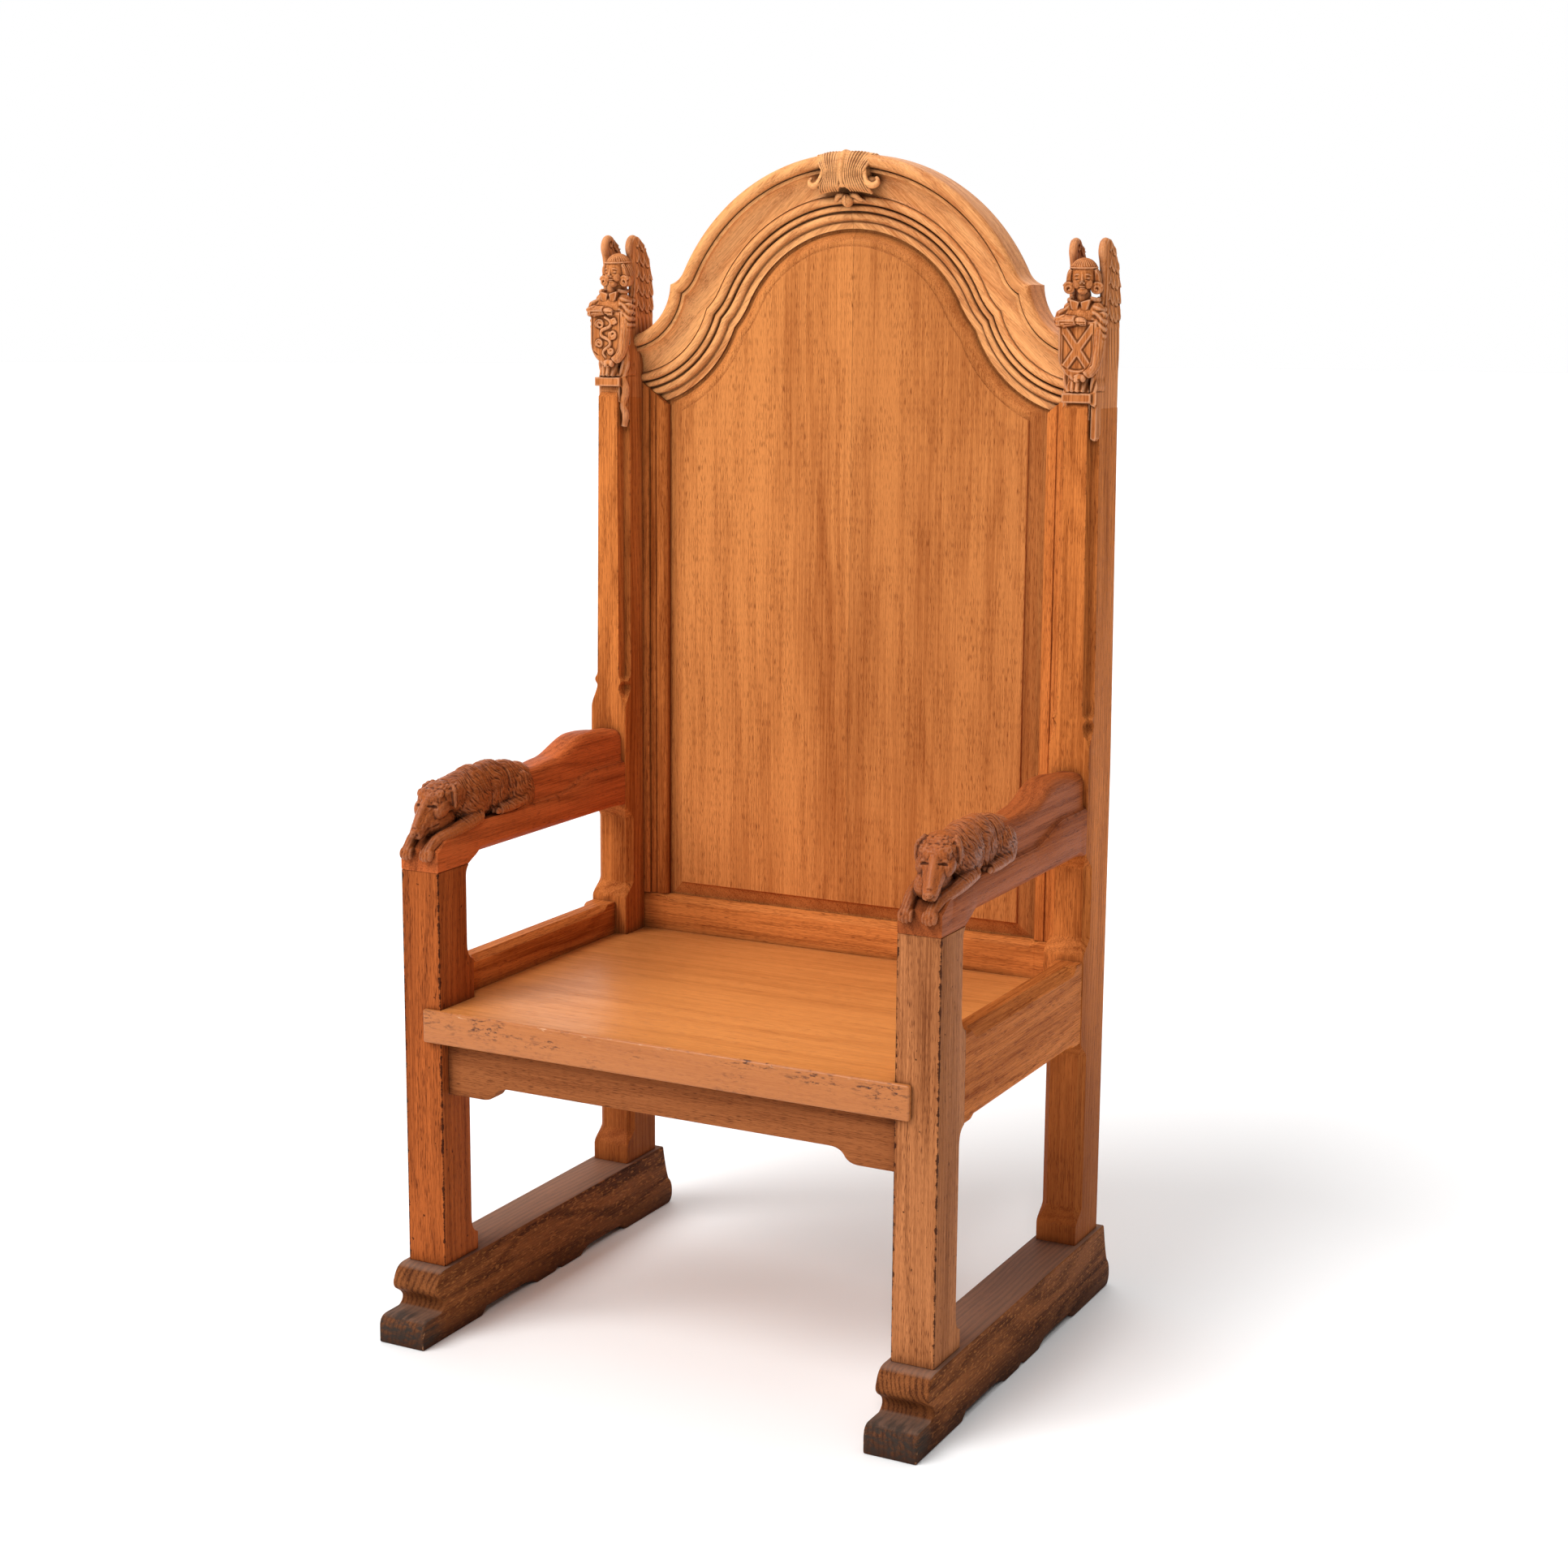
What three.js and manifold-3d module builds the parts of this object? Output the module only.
// A waxed oak throne on two sledge runners: four posts, a board seat, railed sides whose arms
// end in sleeping hounds, a fielded panel under a moulded arch, and an angel on each back post.
// The throne faces -Y and stands on z = 0. All sizes are in millimetres.

import * as THREE from 'three';
import { mergeVertices } from 'three/addons/utils/BufferGeometryUtils.js';
import Module from 'manifold-3d';

const wasm = await Module();
wasm.setup();

// Driving dimensions of the frame
const joint = 0.3;
const postWidth = 60;
const clearHalf = 342;
const postMiddle = clearHalf + postWidth / 2;
const runner = { width: 74, height: 100, front: -344, rear: 344, toe: 39, recess: 10 };
const frontPost = { front: -279, rear: -197, top: 660 };
const backPost = { front: 214, rear: 302, top: 1300, lean: 6 };
const hollow = { depth: 15, round: 26, foot: 126, underRail: 400, overRail: 524, underArm: 672 };
const rebate = { width: 11, depth: 18, low: 842, high: 1274, stop: 28 };
const seat = { top: 470, thick: 47, front: -288, earHalf: 366 };
const sideRail = { thick: 40, low: 400, top: 518, bevel: 12 };
const apron = { front: -263, thick: 25, endLow: 346, middleLow: 366, endHalf: 287, middleHalf: 243 };
const lowRail = { front: 270, low: 395, top: 525, bevel: 8 };
const panelRebate = { front: 284, width: 10 };
const stile = { inner: 302, outer: 330, front: 271 };
const fillet = { inner: 331.5, front: 268 };
const field = { half: 277, low: 547, inset: 128, front: 272, step: 3, bevel: 21 };
const panelRear = 296;
const panelPlay = 1.5;

// The arch follows three tangent or crossing circles on each side: a crown about the middle
// plane, a short reverse curve out of it, and a hollow that runs down to the post.
const arch = {
  crownRadius: 291,
  crownHeight: 1339.3,
  turn: THREE.MathUtils.degToRad(26),
  reverseRadius: 33.5,
  hollowX: 361.7,
  hollowZ: 1451.8,
  hollowRadius: 78.1,
  mitreInset: 69,
  innerInset: 103.5,
};

// Moulding of the arch: how far in from the outer line, and the depth of the face there
const archProfile = [
  [0, 302], [0, 256], [3, 248], [10, 244.5], [17, 248], [19.5, 254], [24.5, 255],
  [27, 260], [36, 268], [48, 271], [59, 270], [64, 267], [69, 270], [70, 273],
  [79, 273], [80, 276], [86, 273.5], [92, 278], [103.5, 280], [103.5, 284], [93, 284], [93, 302],
];
const archSteps = { crown: 7, reverse: 2, hollow: 4 };

const arm = { low: 672, band: 715, bandRear: 737, railHalf: 23, railRear: 787 };
const hound = {
  back: 786, ridge: 0.93, rearY: -12, neckY: -205, headY: -223, headZ: 759, headYaw: 14, leftRise: 7,
};
const angel = {
  block: 1297, lift: 4, bodyY: 234, headY: 229, headRise: 166, headYaw: 14, leftHead: 8,
  shieldFront: 210, wingRoot: 15, wingY: 238,
};

const oak = new THREE.MeshStandardMaterial({ color: 0xb8713a, roughness: 0.45, metalness: 0 });
const panelOak = new THREE.MeshStandardMaterial({ color: 0xc47d42, roughness: 0.42, metalness: 0 });
const runnerOak = new THREE.MeshStandardMaterial({ color: 0x6e4527, roughness: 0.55, metalness: 0 });
const armOak = new THREE.MeshStandardMaterial({ color: 0x8a5230, roughness: 0.4, metalness: 0 });

// Basic solids

function solid(geometry) {
  const bare = geometry.clone();
  bare.deleteAttribute('normal');
  bare.deleteAttribute('uv');
  const welded = mergeVertices(bare, 1e-3);
  const corners = [];
  const index = welded.index.array;
  for (let i = 0; i < index.length; i += 3) {
    const [a, b, c] = [index[i], index[i + 1], index[i + 2]];
    if (a !== b && b !== c && c !== a) {
      corners.push(a, b, c);
    }
  }
  const vertProperties = new Float32Array(welded.attributes.position.array);
  const triVerts = new Uint32Array(corners);
  return new wasm.Manifold(new wasm.Mesh({ numProp: 3, vertProperties, triVerts }));
}

function join(geometries) {
  return geometries.map(solid).reduce((whole, next) => whole.add(next));
}

function geometryOf(body) {
  const mesh = body.getMesh();
  const geometry = new THREE.BufferGeometry();
  geometry.setAttribute('position', new THREE.BufferAttribute(new Float32Array(mesh.vertProperties), 3));
  geometry.setIndex(Array.from(mesh.triVerts));
  geometry.computeVertexNormals();
  return geometry;
}

function mirrored(geometry) {
  const copy = geometry.clone();
  copy.scale(-1, 1, 1);
  const index = Array.from(copy.index.array);
  for (let i = 0; i < index.length; i += 3) {
    [index[i], index[i + 1]] = [index[i + 1], index[i]];
  }
  copy.setIndex(index);
  copy.computeVertexNormals();
  return copy;
}

function block(x0, x1, y0, y1, z0, z1) {
  const geometry = new THREE.BoxGeometry(x1 - x0, y1 - y0, z1 - z0);
  return geometry.translate((x0 + x1) / 2, (y0 + y1) / 2, (z0 + z1) / 2);
}

// A shape drawn in side view, (y, z), given a width along X
function sideways(shape, x0, x1, curveSegments = 4) {
  const geometry = new THREE.ExtrudeGeometry(shape, { depth: x1 - x0, bevelEnabled: false, curveSegments });
  const turn = new THREE.Matrix4().set(0, 0, 1, x0, 1, 0, 0, 0, 0, 1, 0, 0, 0, 0, 0, 1);
  return geometry.applyMatrix4(turn);
}

// A shape drawn in front view, (x, z), given a depth along Y
function frontwards(shape, y0, y1, curveSegments = 4) {
  const geometry = new THREE.ExtrudeGeometry(shape, { depth: y1 - y0, bevelEnabled: false, curveSegments });
  const turn = new THREE.Matrix4().set(1, 0, 0, 0, 0, 0, -1, y1, 0, 1, 0, 0, 0, 0, 0, 1);
  return geometry.applyMatrix4(turn);
}

function outline(points) {
  return new THREE.Shape(points.map(([u, v]) => new THREE.Vector2(u, v)));
}

function lozenge(radii, centre) {
  return new THREE.OctahedronGeometry(1).scale(...radii).translate(...centre);
}

function ball(radii, centre, sides = 8, rings = 6) {
  return new THREE.SphereGeometry(1, sides, rings).rotateX(Math.PI / 2).scale(...radii).translate(...centre);
}

function tube(points, radius, steps, sides = 5) {
  const path = new THREE.CatmullRomCurve3(points.map((p) => new THREE.Vector3(...p)));
  const corners = Array.from({ length: sides }, (_, i) => [
    radius * Math.cos((2 * Math.PI * i) / sides),
    radius * Math.sin((2 * Math.PI * i) / sides),
  ]);
  return new THREE.ExtrudeGeometry(outline(corners), { steps, extrudePath: path });
}

// Triangles that close a flat or nearly flat ring
function ringCap(ring) {
  const normal = new THREE.Vector3();
  ring.forEach((p, i) => {
    const q = ring[(i + 1) % ring.length];
    normal.x += (p.y - q.y) * (p.z + q.z);
    normal.y += (p.z - q.z) * (p.x + q.x);
    normal.z += (p.x - q.x) * (p.y + q.y);
  });
  normal.normalize();
  const across = new THREE.Vector3(1, 0, 0);
  if (Math.abs(normal.x) > 0.8) {
    across.set(0, 1, 0);
  }
  across.addScaledVector(normal, -across.dot(normal)).normalize();
  const up = new THREE.Vector3().crossVectors(normal, across);
  const flat = ring.map((p) => new THREE.Vector2(p.dot(across), p.dot(up)));
  return THREE.ShapeUtils.triangulateShape(flat, []);
}

// A closed skin through rings of equally many points, with an end cap on the first and last
function loft(rings) {
  const count = rings[0].length;
  const points = rings.flat();
  const faces = [];
  for (let r = 0; r + 1 < rings.length; r += 1) {
    for (let i = 0; i < count; i += 1) {
      const a = r * count + i;
      const b = r * count + ((i + 1) % count);
      faces.push([a, b, b + count], [a, b + count, a + count]);
    }
  }
  const last = (rings.length - 1) * count;
  ringCap(rings[0]).forEach(([a, b, c]) => faces.push([c, b, a]));
  ringCap(rings.at(-1)).forEach(([a, b, c]) => faces.push([last + a, last + b, last + c]));
  const volume = faces.reduce((sum, [a, b, c]) => {
    const cross = new THREE.Vector3().crossVectors(points[b], points[c]);
    return sum + points[a].dot(cross);
  }, 0);
  const index = faces.flatMap(([a, b, c]) => (volume > 0 ? [a, b, c] : [a, c, b]));
  const geometry = new THREE.BufferGeometry();
  geometry.setFromPoints(points);
  geometry.setIndex(index);
  return geometry;
}

function ellipseRing(centre, halfWidth, halfHeight, sides, wave = () => 1) {
  return Array.from({ length: sides }, (_, i) => {
    const angle = (2 * Math.PI * i) / sides;
    const swell = wave(angle, i);
    const x = centre[0] + halfWidth * swell * Math.cos(angle);
    const z = centre[2] + halfHeight * swell * Math.sin(angle);
    return new THREE.Vector3(x, centre[1], z);
  });
}

// Runners

function runnerSolid() {
  const { front, rear, height, toe, recess } = runner;
  const side = new THREE.Shape();
  side.moveTo(front, 0);
  side.lineTo(front, toe * 0.55);
  side.quadraticCurveTo(front, toe, front + 16, toe);
  side.lineTo(front + 46, toe);
  side.quadraticCurveTo(front + 64, toe + 9, front + 44, height - 38);
  side.quadraticCurveTo(front + 28, height - 30, front + 36, height - 17);
  side.quadraticCurveTo(front + 42, height, front + 60, height);
  side.lineTo(rear - 28, height);
  side.quadraticCurveTo(rear - 20, height * 0.6, rear - 11, height * 0.42);
  side.quadraticCurveTo(rear + 1, height * 0.34, rear, height * 0.14);
  side.quadraticCurveTo(rear - 2, 0, rear - 14, 0);
  side.lineTo(206, 0);
  side.quadraticCurveTo(192, 0, 184, recess);
  side.lineTo(96, recess);
  side.quadraticCurveTo(82, recess, 66, 0);
  side.lineTo(12, 0);
  side.quadraticCurveTo(3, recess, -6, 0);
  side.lineTo(-55, 0);
  side.quadraticCurveTo(-74, recess, -100, recess);
  side.lineTo(-188, recess);
  side.lineTo(-199, 0);
  return solid(sideways(side, postMiddle - runner.width / 2, postMiddle + runner.width / 2, 3));
}

// Posts: an upright edge that is cut back between each pair of heights

function hollowedEdge(shape, face, depth, spans) {
  spans.forEach(([low, high]) => {
    shape.lineTo(face, low);
    shape.quadraticCurveTo(face + depth, low + 4, face + depth, low + hollow.round);
    shape.lineTo(face + depth, high - hollow.round);
    shape.quadraticCurveTo(face + depth, high - 4, face, high);
  });
}

function frontPostSolid() {
  const foot = runner.height + joint;
  const side = new THREE.Shape();
  side.moveTo(frontPost.front, foot);
  side.lineTo(frontPost.rear, foot);
  hollowedEdge(side, frontPost.rear, -hollow.depth, [[hollow.foot, hollow.underRail]]);
  side.lineTo(frontPost.rear, hollow.overRail);
  side.quadraticCurveTo(
    frontPost.rear - hollow.depth, hollow.overRail + 4,
    frontPost.rear - hollow.depth, hollow.overRail + hollow.round,
  );
  side.lineTo(frontPost.rear - hollow.depth, frontPost.top - 16);
  side.quadraticCurveTo(
    frontPost.rear - hollow.depth, frontPost.top - 6,
    frontPost.rear - hollow.depth / 2, frontPost.top,
  );
  side.lineTo(frontPost.front, frontPost.top);
  return solid(sideways(side, clearHalf, clearHalf + postWidth));
}

function backPostBody() {
  const foot = runner.height + joint;
  const side = new THREE.Shape();
  side.moveTo(backPost.rear, foot);
  side.lineTo(backPost.rear, backPost.top);
  side.lineTo(backPost.front, backPost.top);
  side.lineTo(backPost.front, hollow.underArm);
  const spans = [[hollow.underArm, hollow.overRail], [hollow.underRail, hollow.foot]];
  spans.forEach(([high, low]) => {
    const cut = backPost.front + hollow.depth;
    side.lineTo(backPost.front, high);
    side.quadraticCurveTo(cut, high - 4, cut, high - hollow.round);
    side.lineTo(cut, low + hollow.round);
    side.quadraticCurveTo(cut, low + 4, backPost.front, low);
  });
  side.lineTo(backPost.front, foot);
  return solid(sideways(side, -postWidth / 2, postWidth / 2));
}

// The front corners are rebated from a pointed stop above the arm to the carved block on top
function rebateCutter(hand) {
  const outer = hand * (postWidth / 2 + 1);
  const inner = hand * (postWidth / 2 - rebate.width);
  const front = backPost.front - 1;
  const back = backPost.front + rebate.depth;
  const square = (z, reach, depth) => {
    const edge = outer + (inner - outer) * reach;
    const wall = front + (back - front) * depth;
    const corners = [[outer, front], [edge, front], [edge, wall], [outer, wall]];
    return corners.map(([x, y]) => new THREE.Vector3(x, y, z));
  };
  return solid(loft([
    square(rebate.low - rebate.stop, 0.15, 0.1),
    square(rebate.low - rebate.stop / 2, 0.75, 0.6),
    square(rebate.low, 1, 1),
    square(rebate.high, 1, 1),
    square(rebate.high + 10, 0.3, 0.4),
  ]));
}

// The outer face of each back post leans in from the arm to the top
function leanCutter(hand) {
  const outer = postWidth / 2;
  const square = (z, inner) => {
    const corners = [
      [inner, backPost.front - 1], [outer + 1, backPost.front - 1],
      [outer + 1, backPost.rear + 1], [inner, backPost.rear + 1],
    ];
    return corners.map(([x, y]) => new THREE.Vector3(hand * x, y, z));
  };
  return solid(loft([
    square(arm.railRear, outer + joint),
    square(backPost.top + 1, outer - backPost.lean),
  ]));
}

// Angels

function wing(hand) {
  const lead = new THREE.Shape();
  lead.moveTo(0, angel.block);
  lead.lineTo(0, angel.block + 150);
  lead.quadraticCurveTo(-9, angel.block + 205, 2, angel.block + 216);
  lead.quadraticCurveTo(22, angel.block + 226, 42, angel.block + 202);
  lead.quadraticCurveTo(64, angel.block + 176, 64, angel.block + 130);
  lead.lineTo(64, angel.block);
  const feathers = [];
  for (let row = 0; row < 3; row += 1) {
    for (let column = 0; column < 2; column += 1) {
      const along = 16 + 27 * column + 11 * (row % 2);
      const height = angel.block + 190 - 34 * row - 16 * column;
      feathers.push(lozenge([3.4, 13, 22], [hand * 3.5, along, height]));
    }
  }
  const parts = [sideways(lead, -4.5, 4.5, 2), ...feathers];
  const spread = THREE.MathUtils.degToRad(-9 * hand);
  return parts.map((part) => part.rotateZ(spread).translate(hand * angel.wingRoot, angel.wingY, 0));
}

function shieldOutline(half, height) {
  const top = angel.block + 107;
  const shape = new THREE.Shape();
  shape.moveTo(-half, top);
  shape.lineTo(-half, top - height * 0.58);
  shape.quadraticCurveTo(-half * 0.9, top - height * 0.86, 0, top - height);
  shape.quadraticCurveTo(half * 0.9, top - height * 0.86, half, top - height * 0.58);
  shape.lineTo(half, top);
  return shape;
}

function saltire() {
  const inside = solid(frontwards(shieldOutline(24, 74), angel.shieldFront - 4, angel.shieldFront + 3));
  const centre = angel.block + 70;
  const bars = [-1, 1].map((hand) => {
    const bar = new THREE.BoxGeometry(13, 4, 110).rotateY(hand * 0.66);
    return solid(bar.translate(0, angel.shieldFront - 1, centre));
  });
  return geometryOf(bars[0].add(bars[1]).intersect(inside));
}

function scrollCharge() {
  const middle = angel.block + 72;
  const curl = Array.from({ length: 9 }, (_, i) => {
    const turn = (i / 8) * 3 * Math.PI;
    const reach = 4 + 13 * (i / 8);
    return [reach * Math.cos(turn), angel.shieldFront - 1, middle + 1.3 * reach * Math.sin(turn)];
  });
  return tube(curl, 3, 10, 4);
}

// Robe from hem to collar in one skin: deep pleats below, softer folds over the shoulders
function robe() {
  const rings = [
    [14, 21, 19, 0.86], [20, 19, 18, 0.86], [60, 21, 18, 0.88], [92, 26, 20, 0.92],
    [124, 30, 20, 0.94], [139, 18, 15, 0.97], [150, 9, 9, 1],
  ];
  const sides = 14;
  return loft(rings.map(([height, half, depth, groove]) => Array.from({ length: sides }, (_, i) => {
    const angle = (2 * Math.PI * i) / sides;
    const pleat = i % 2 === 0 ? 1 : groove;
    const x = half * pleat * Math.cos(angle);
    const y = angel.bodyY + depth * pleat * Math.sin(angle);
    return new THREE.Vector3(x, y, angel.block + height);
  })));
}

function angelHead(side) {
  const level = angel.block + angel.headRise;
  const yaw = side > 0 ? angel.headYaw : 0;
  const aside = side > 0 ? 0 : angel.leftHead;
  const parts = [
    ball([18, 19, 24], [0, 0, level], 8, 6),
    ball([21, 19, 23], [0, 5, level + 6], 8, 5),
    lozenge([3.5, 5, 7], [0, -18, level - 2]),
    new THREE.TorusGeometry(20.5, 2.4, 3, 8).scale(1, 0.96, 1).rotateX(0.18).translate(0, 2, level + 12),
  ];
  [-1, 1].forEach((hand) => {
    parts.push(ball([8, 8, 9], [hand * 21, 1, level - 13], 5, 4));
  });
  return parts.map((part) => part.rotateZ(THREE.MathUtils.degToRad(yaw)).translate(aside, angel.headY, 0));
}

function angelFigure(side) {
  const base = angel.block;
  const charge = side > 0 ? saltire() : scrollCharge();
  const parts = [
    block(-17, 17, 218, 245, backPost.top - 30, base + 1),
    block(-21, 21, 211, 246, base, base + 14),
    block(-27, 27, 240, 301, backPost.top - 12, base + 92),
    robe(),
    frontwards(shieldOutline(27, 80), angel.shieldFront, angel.shieldFront + 10, 3),
    charge,
    tube([[-25, 228, base + 112], [-24, 214, base + 108], [-4, 208, base + 109]], 7, 3),
    tube([[27, 226, base + 112], [30, 214, base + 78], [26, 209, base + 44], [6, 206, base + 31]], 6, 5),
    ...angelHead(side),
    ...wing(-1),
    ...wing(1),
  ];
  [-1, 1].forEach((hand) => {
    parts.push(lozenge([11, 12, 8], [hand * 9, 219, base + 15]));
    parts.push(block(hand > 0 ? 18 : -29, hand > 0 ? 29 : -18, 219, 236, base - 34, base + 12));
    parts.push(block(hand > 0 ? 18 : -27, hand > 0 ? 27 : -18, 223, 236, base - 58, base - 30));
  });
  return join(parts.map((part) => part.translate(-side * backPost.lean / 2, 0, -side * angel.lift)));
}

function backPostGeometry(hand) {
  const rebated = backPostBody().subtract(rebateCutter(-1)).subtract(rebateCutter(1));
  const inner = postWidth / 2;
  const beside = hand > 0 ? [-2 * inner, -inner] : [inner, 2 * inner];
  const archEnd = archLine(0, clearHalf - joint, 0).at(-1)[1] + 4;
  const clearance = solid(block(...beside, panelRebate.front - 40, backPost.rear + 10, rebate.high, archEnd));
  const whole = rebated.subtract(leanCutter(hand)).add(angelFigure(hand)).subtract(clearance);
  return geometryOf(whole).translate(hand * postMiddle, 0, 0);
}

// Side rails, seat, apron and lower back rail

function sideRailSolid() {
  const outer = clearHalf + postWidth - 1;
  const { thick, low, top, bevel } = sideRail;
  const section = outline([
    [outer - thick, low], [outer, low], [outer, top - bevel], [outer - bevel, top],
    [outer - thick + bevel * 0.7, top], [outer - thick, top - bevel * 0.7],
  ]);
  return solid(frontwards(section, frontPost.rear + joint, backPost.front - joint));
}

function seatSolid() {
  const besidePosts = clearHalf - joint;
  const besideRails = clearHalf + postWidth - 1 - sideRail.thick - joint;
  const ear = frontPost.front - joint;
  const right = [
    [seat.earHalf - 3, seat.front], [seat.earHalf, seat.front + 3], [seat.earHalf, ear],
    [besidePosts, ear], [besidePosts, frontPost.rear + joint], [besideRails, frontPost.rear + joint],
    [besideRails, backPost.front - joint], [besidePosts, backPost.front - joint],
    [besidePosts, lowRail.front - joint],
  ];
  const left = right.map(([x, y]) => [-x, y]).reverse();
  const plan = outline([...right, ...left]);
  const board = new THREE.ExtrudeGeometry(plan, { depth: seat.thick, bevelEnabled: false });
  return solid(board.translate(0, 0, seat.top - seat.thick));
}

function apronSolid() {
  const end = clearHalf - joint;
  const { endLow, middleLow, endHalf, middleHalf } = apron;
  const ogee = (endHalf + middleHalf) / 2;
  const half = (endLow + middleLow) / 2;
  const front = new THREE.Shape();
  front.moveTo(-end, seat.top - seat.thick - joint);
  front.lineTo(-end, endLow);
  front.lineTo(-endHalf, endLow);
  front.quadraticCurveTo(-ogee - 6, endLow, -ogee, half);
  front.quadraticCurveTo(-ogee + 6, middleLow, -middleHalf, middleLow);
  front.lineTo(middleHalf, middleLow);
  front.quadraticCurveTo(ogee - 6, middleLow, ogee, half);
  front.quadraticCurveTo(ogee + 6, endLow, endHalf, endLow);
  front.lineTo(end, endLow);
  front.lineTo(end, seat.top - seat.thick - joint);
  return solid(frontwards(front, apron.front, apron.front + apron.thick));
}

function lowRailSolid() {
  const { front, low, top, bevel } = lowRail;
  const side = outline([
    [front, low], [backPost.rear, low], [backPost.rear, top - panelRebate.width],
    [panelRebate.front, top - panelRebate.width], [panelRebate.front, top],
    [front + bevel, top], [front, top - bevel],
  ]);
  return solid(sideways(side, -clearHalf + joint, clearHalf - joint));
}

// Arch: one half of its line at a given inset, from the middle plane out to endX

function archLine(inset, endX, startX) {
  const { crownRadius, crownHeight, turn, reverseRadius, hollowX, hollowZ, hollowRadius } = arch;
  const crown = crownRadius - inset;
  const reverse = reverseRadius + inset;
  const low = hollowRadius + inset;
  const reverseX = (crownRadius + reverseRadius) * Math.cos(turn);
  const reverseZ = crownHeight + (crownRadius + reverseRadius) * Math.sin(turn);
  const apart = Math.hypot(reverseX - hollowX, reverseZ - hollowZ);
  const along = (apart ** 2 + low ** 2 - reverse ** 2) / (2 * apart);
  const aside = Math.sqrt(low ** 2 - along ** 2);
  const unit = [(reverseX - hollowX) / apart, (reverseZ - hollowZ) / apart];
  const kinkX = hollowX + along * unit[0] - aside * unit[1];
  const kinkZ = hollowZ + along * unit[1] + aside * unit[0];
  const points = [];
  const sweep = (x, z, radius, from, to, steps, first) => {
    for (let i = first; i <= steps; i += 1) {
      const angle = from + ((to - from) * i) / steps;
      points.push([x + radius * Math.cos(angle), z + radius * Math.sin(angle)]);
    }
  };
  const start = Math.acos(startX / crown);
  sweep(0, crownHeight, crown, start, turn, archSteps.crown, 0);
  const kinkReverse = Math.atan2(kinkZ - reverseZ, kinkX - reverseX) + 2 * Math.PI;
  sweep(reverseX, reverseZ, reverse, turn + Math.PI, kinkReverse, archSteps.reverse, 1);
  const kinkHollow = Math.atan2(kinkZ - hollowZ, kinkX - hollowX);
  const from = kinkHollow < 0 ? kinkHollow + 2 * Math.PI : kinkHollow;
  const to = 2 * Math.PI - Math.acos((endX - hollowX) / low);
  sweep(hollowX, hollowZ, low, from, to, archSteps.hollow, 1);
  return points;
}

function archSolid() {
  const lines = archProfile.map(([inset, y]) => {
    const end = clearHalf - joint - Math.max(0, inset - arch.mitreInset);
    return archLine(inset, end, joint / 2).map(([x, z]) => new THREE.Vector3(x, y, z));
  });
  const stations = lines[0].map((_, step) => lines.map((line) => line[step]));
  return solid(loft(stations));
}

// Everything above the arch's mitred ends, used to trim the strips beside the panel
function mitreTrim() {
  const corner = (inset, endX) => archLine(inset, endX, 0).at(-1);
  const [outX, outZ] = corner(arch.mitreInset, clearHalf - joint);
  const reach = arch.innerInset - arch.mitreInset;
  const [inX, inZ] = corner(arch.innerInset, clearHalf - joint - reach);
  const slope = (outZ - inZ) / (outX - inX);
  const drop = 1.2;
  const low = inZ - drop - slope * (inX - field.half);
  const high = outZ - drop + slope * (postMiddle - outX);
  const shape = outline([
    [field.half, low], [postMiddle, high], [postMiddle, high + 400], [field.half, high + 400],
  ]);
  return solid(frontwards(shape, 200, 400));
}

function uprightStrip(section) {
  const height = 1330 - lowRail.top;
  const strip = new THREE.ExtrudeGeometry(outline(section), { depth: height, bevelEnabled: false });
  return solid(strip.translate(0, 0, lowRail.top + joint)).subtract(mitreTrim());
}

function stileSolid() {
  const { inner, outer, front } = stile;
  const rear = panelRebate.front;
  return uprightStrip([
    [outer, front], [outer, backPost.rear], [inner + panelRebate.width, backPost.rear],
    [inner + panelRebate.width, rear], [inner, rear], [inner, front + 9], [inner + 2, front + 3],
    [inner + 7, front],
  ]);
}

function filletSolid() {
  const outer = clearHalf - joint;
  const lip = stile.outer + joint;
  return uprightStrip([
    [fillet.inner, fillet.front], [outer, fillet.front], [outer, backPost.rear],
    [lip, backPost.rear], [lip, panelRebate.front], [fillet.inner, panelRebate.front],
  ]);
}

// Panel: closed outlines that step outward from the field's edge

function panelRing(outward, y) {
  const half = field.half + outward;
  const right = archLine(field.inset - outward, half, 0).map(([x, z]) => new THREE.Vector3(x, y, z));
  const left = right.slice(1).reverse().map((p) => new THREE.Vector3(-p.x, p.y, p.z));
  const low = field.low - outward;
  const floor = Math.max(low, lowRail.top - panelRebate.width + joint);
  return [...left, ...right, new THREE.Vector3(half, y, floor), new THREE.Vector3(-half, y, floor)];
}

function panelSolid() {
  const edge = panelRebate.front + joint;
  const whole = stile.inner + panelRebate.width - panelPlay - field.half;
  return solid(loft([
    panelRing(0, field.front),
    panelRing(0, field.front + field.step),
    panelRing(field.bevel, edge),
    panelRing(whole, edge),
    panelRing(whole, panelRear),
  ]));
}

// Crest: two fluted shells back to back over the arch's top, with a bud and leaves below

function flutedShell(hand) {
  const ribs = 8;
  const sides = ribs * 2;
  const levels = 5;
  const top = arch.crownHeight + arch.crownRadius + 3;
  const rings = Array.from({ length: levels }, (_, r) => {
    const tilt = Math.PI * (0.06 + (0.88 * r) / (levels - 1));
    return Array.from({ length: sides }, (_, i) => {
      const angle = (2 * Math.PI * i) / sides;
      const rib = i % 2 === 0 ? 1 : 0.9;
      const x = hand * (27 + 37 * rib * Math.sin(tilt) * Math.cos(angle));
      const y = 262 + 25 * rib * Math.sin(tilt) * Math.sin(angle);
      return new THREE.Vector3(x, y, top - 28 + 28 * Math.cos(tilt));
    });
  });
  return loft(rings);
}

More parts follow.
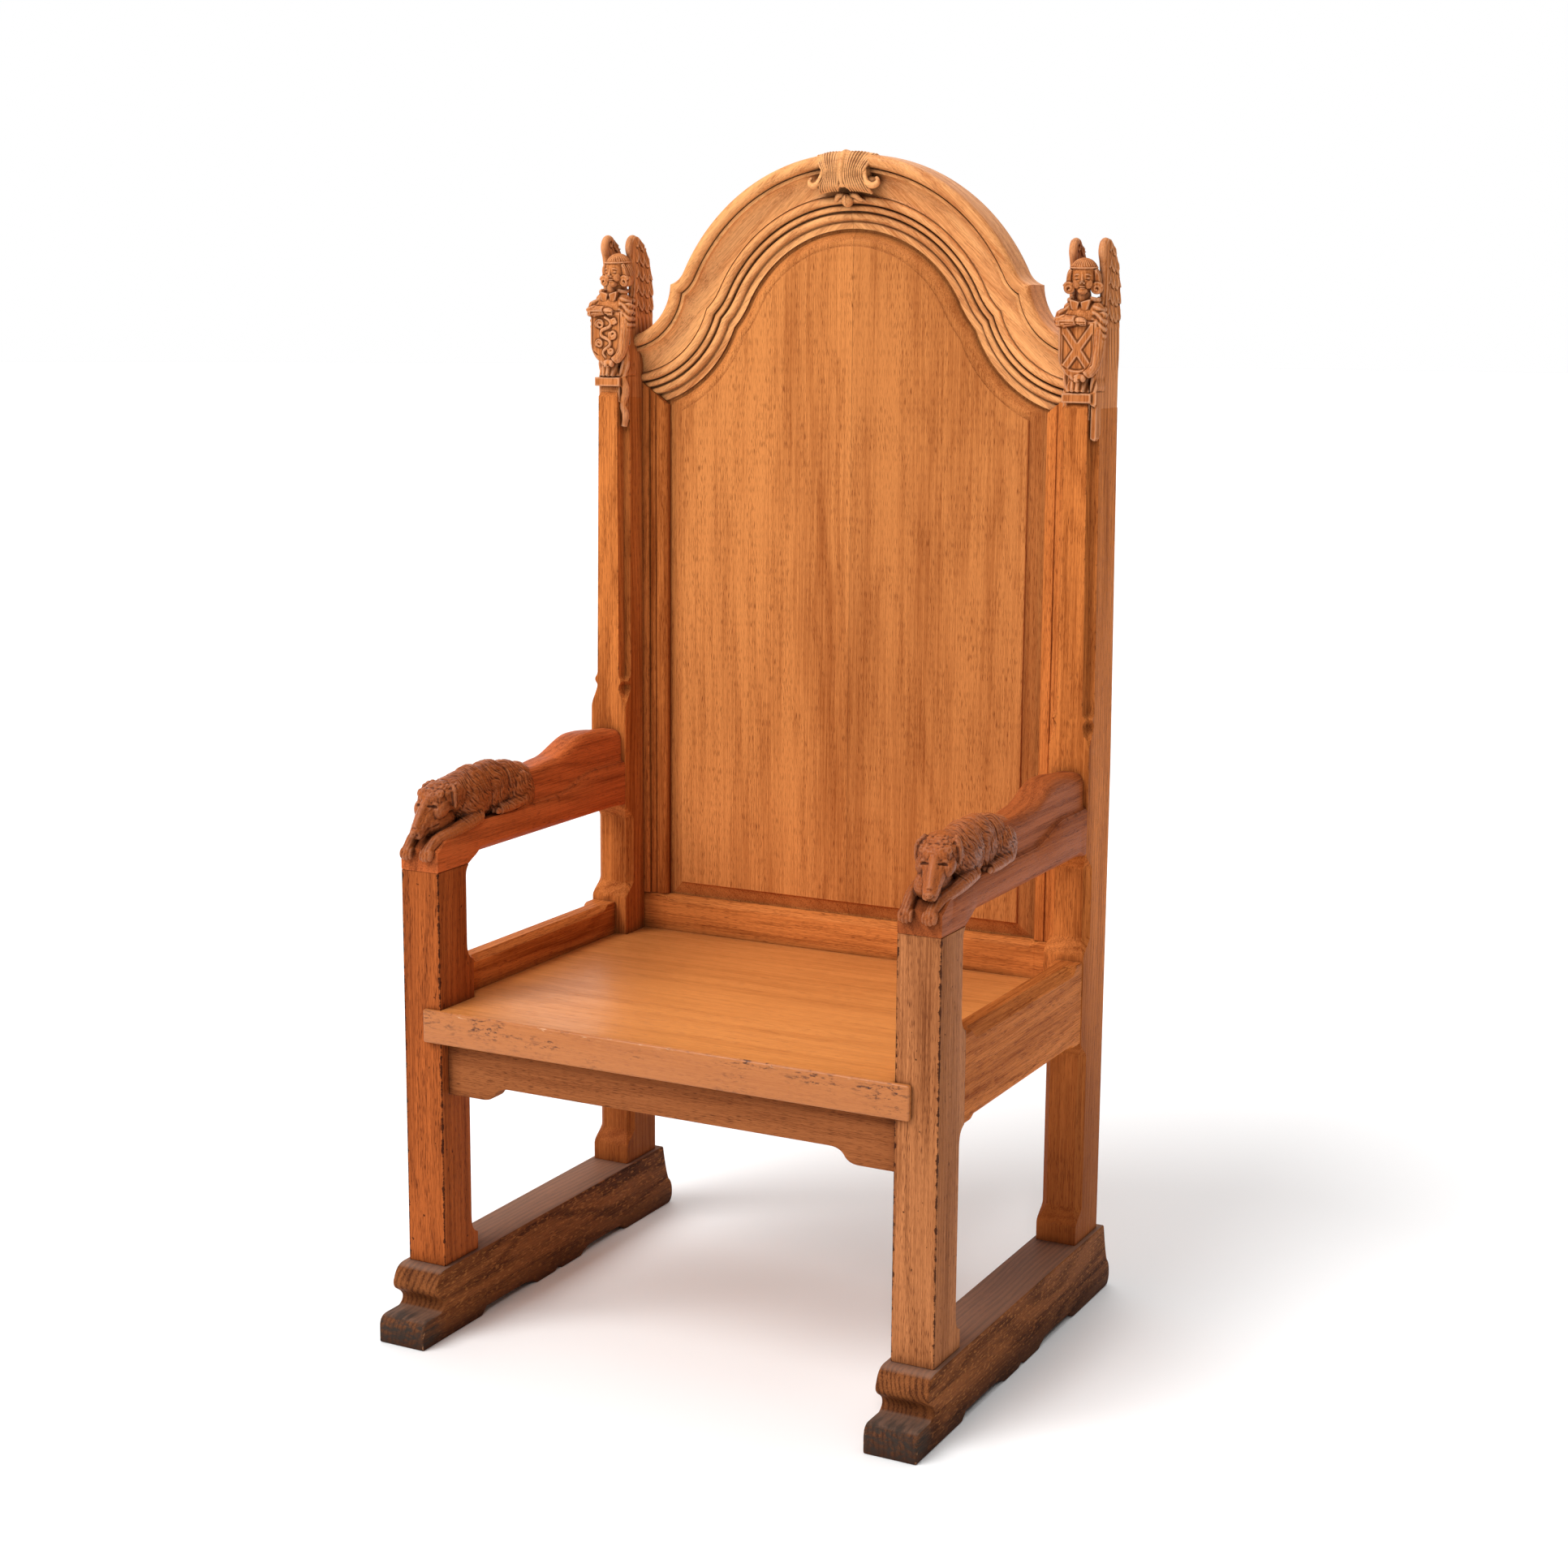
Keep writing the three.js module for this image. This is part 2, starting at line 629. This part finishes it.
// The bed that the crest is cut to fit: the arch's face, stood off by the joint
function crestBed() {
  const face = [
    [-joint, 330], [-joint, 256], [3, 248], [10, 244.5], [17, 248], [24.5, 255],
    [36, 268], [48, 271], [59, 270], [64, 267], [69, 270], [80, 273], [80, 330],
  ];
  const lines = face.map(([inset, y]) => {
    const line = archLine(inset, clearHalf - 20, 0).slice(0, 5);
    return line.map(([x, z]) => new THREE.Vector3(x, y - joint, z));
  });
  const right = loft(lines[0].map((_, step) => lines.map((line) => line[step])));
  return solid(right).add(solid(mirrored(right)));
}

function crestSolid() {
  const top = arch.crownHeight + arch.crownRadius + 3;
  const parts = [flutedShell(-1), flutedShell(1), block(-14, 14, 241, 276, top - 52, top - 5)];
  [-1, 1].forEach((hand) => {
    parts.push(ball([11, 14, 11], [hand * 55, 252, top - 34], 6, 4));
    parts.push(lozenge([15, 9, 6], [hand * 13, 266, top - 63]));
  });
  parts.push(ball([9, 11, 10], [0, 263, top - 66], 6, 4));
  parts.push(block(-5, 5, 256, 276, top - 64, top - 48));
  const behind = solid(block(-120, 120, 256, 330, top - 20, top + 20));
  return join(parts).subtract(crestBed()).subtract(behind);
}

// Arms, each with a hound lying along its front end

function armBand() {
  const { low, band, bandRear } = arm;
  const rear = backPost.front - joint;
  const side = new THREE.Shape();
  side.moveTo(frontPost.front, frontPost.top + joint);
  side.lineTo(frontPost.front, low + 14);
  side.quadraticCurveTo(frontPost.front, band - 12, frontPost.front + 40, band - 4);
  side.lineTo(frontPost.front + 110, band);
  side.lineTo(10, band - 2);
  side.bezierCurveTo(60, band - 2, 70, bandRear, 150, bandRear);
  side.lineTo(rear, bandRear);
  side.lineTo(rear, low);
  side.lineTo(frontPost.rear + 20, low);
  side.quadraticCurveTo(
    frontPost.rear - hollow.depth / 2 + 8, low - 2,
    frontPost.rear - hollow.depth / 2, frontPost.top + joint,
  );
  return sideways(side, -postWidth / 2, postWidth / 2, 5);
}

function handrail() {
  const stations = [
    [-70, 764], [20, 769], [45, 773], [75, 783], [105, 791], [145, 793],
    [backPost.front - joint, arm.railRear],
  ];
  return loft(stations.map(([y, top]) => {
    const rise = THREE.MathUtils.smoothstep(y, 20, 130);
    const low = arm.band - 3 + (arm.bandRear - arm.band) * rise;
    const half = arm.railHalf;
    const right = [[half + 6, low], [half, low + 9], [half - 1, top - 15], [half - 9, top]];
    const left = right.map(([x, z]) => [-x, z]).reverse();
    return [...right, ...left].map(([x, z]) => new THREE.Vector3(x, y, z));
  }));
}

// Trunk and head share one skin: rings from the haunch to the neck, ridged like a shaggy coat
function houndTrunk() {
  const rings = 9;
  return loft(Array.from({ length: rings }, (_, r) => {
    const t = r / (rings - 1);
    const y = hound.rearY + (hound.neckY - hound.rearY) * t;
    const round = Math.sin(Math.PI * Math.min(1, 0.12 + 1.6 * t) * 0.5);
    const waist = 1 - 0.1 * Math.sin(Math.PI * THREE.MathUtils.clamp(t * 1.25, 0, 1)) ** 2;
    const ridge = r % 2 === 0 ? 1 : hound.ridge;
    const top = hound.back - 8 * t - 14 * (1 - round);
    const half = 28 * round * waist * ridge;
    const height = 46 * ridge * (0.6 + 0.4 * round);
    return ellipseRing([0, y, top - 46], half, height, 8);
  }));
}

function houndHead(yaw) {
  const stations = [
    [30, 0, 21, 16], [10, 3, 28, 23], [-10, 2, 29, 23], [-26, -9, 22, 18],
    [-41, -24, 15, 13], [-55, -38, 12, 10.5], [-66, -47, 10, 9.5], [-71, -51, 6, 6],
  ];
  const skull = loft(stations.map(([y, z, half, height]) => ellipseRing([0, y, z], half, height, 8)));
  const parts = [skull, lozenge([6, 6, 5], [0, -68, -46])];
  [-1, 1].forEach((hand) => {
    parts.push(ball([6, 18, 22], [hand * 27, -7, -9], 6, 4).rotateX(0.25));
    parts.push(lozenge([7, 12, 7], [hand * 13, -26, 3]));
  });
  const turn = THREE.MathUtils.degToRad(yaw);
  return parts.map((part) => part.rotateZ(turn).translate(0, hound.headY, hound.headZ));
}

function houndLegs() {
  const parts = [];
  [-1, 1].forEach((hand) => {
    const reach = [[25, -185, 712], [25, -225, 705], [20, -262, 699], [16, -282, 686]];
    parts.push(tube(reach.map(([x, y, z]) => [hand * x, y, z]), 9, 4));
    for (let toe = -1; toe <= 1; toe += 1) {
      parts.push(lozenge([6, 11, 11], [hand * 16 + toe * 6, -281, 682]));
    }
    parts.push(ball([10, 32, 30], [hand * 21, -58, 737], 6, 4));
    parts.push(ball([7, 26, 8], [hand * 24, -106, 719], 5, 4));
  });
  return parts;
}

function armGeometry(hand) {
  const yaw = hand > 0 ? hound.headYaw : 0;
  const rise = hand > 0 ? 0 : hound.leftRise;
  const trunk = houndTrunk().translate(0, 0, rise);
  const whole = join([armBand(), handrail(), trunk, ...houndHead(yaw), ...houndLegs()]);
  return geometryOf(whole).translate(hand * postMiddle, 0, 0);
}

// Assembly

const throne = new THREE.Group();

function place(name, geometry, material) {
  const mesh = new THREE.Mesh(geometry, material);
  mesh.name = name;
  throne.add(mesh);
}

function placePair(name, body, material) {
  const right = geometryOf(body);
  place(`${name}_right`, right, material);
  place(`${name}_left`, mirrored(right), material);
}

placePair('runner', runnerSolid(), runnerOak);
placePair('front_post', frontPostSolid(), oak);
placePair('side_rail', sideRailSolid(), oak);
placePair('arch', archSolid(), oak);
placePair('panel_stile', stileSolid(), oak);
placePair('panel_fillet', filletSolid(), oak);
[['right', 1], ['left', -1]].forEach(([side, hand]) => {
  place(`back_post_${side}`, backPostGeometry(hand), oak);
  place(`arm_${side}`, armGeometry(hand), armOak);
});
place('seat_board', geometryOf(seatSolid()), panelOak);
place('front_apron', geometryOf(apronSolid()), oak);
place('lower_back_rail', geometryOf(lowRailSolid()), oak);
place('back_panel', geometryOf(panelSolid()), panelOak);
place('crest', geometryOf(crestSolid()), oak);

export default throne;
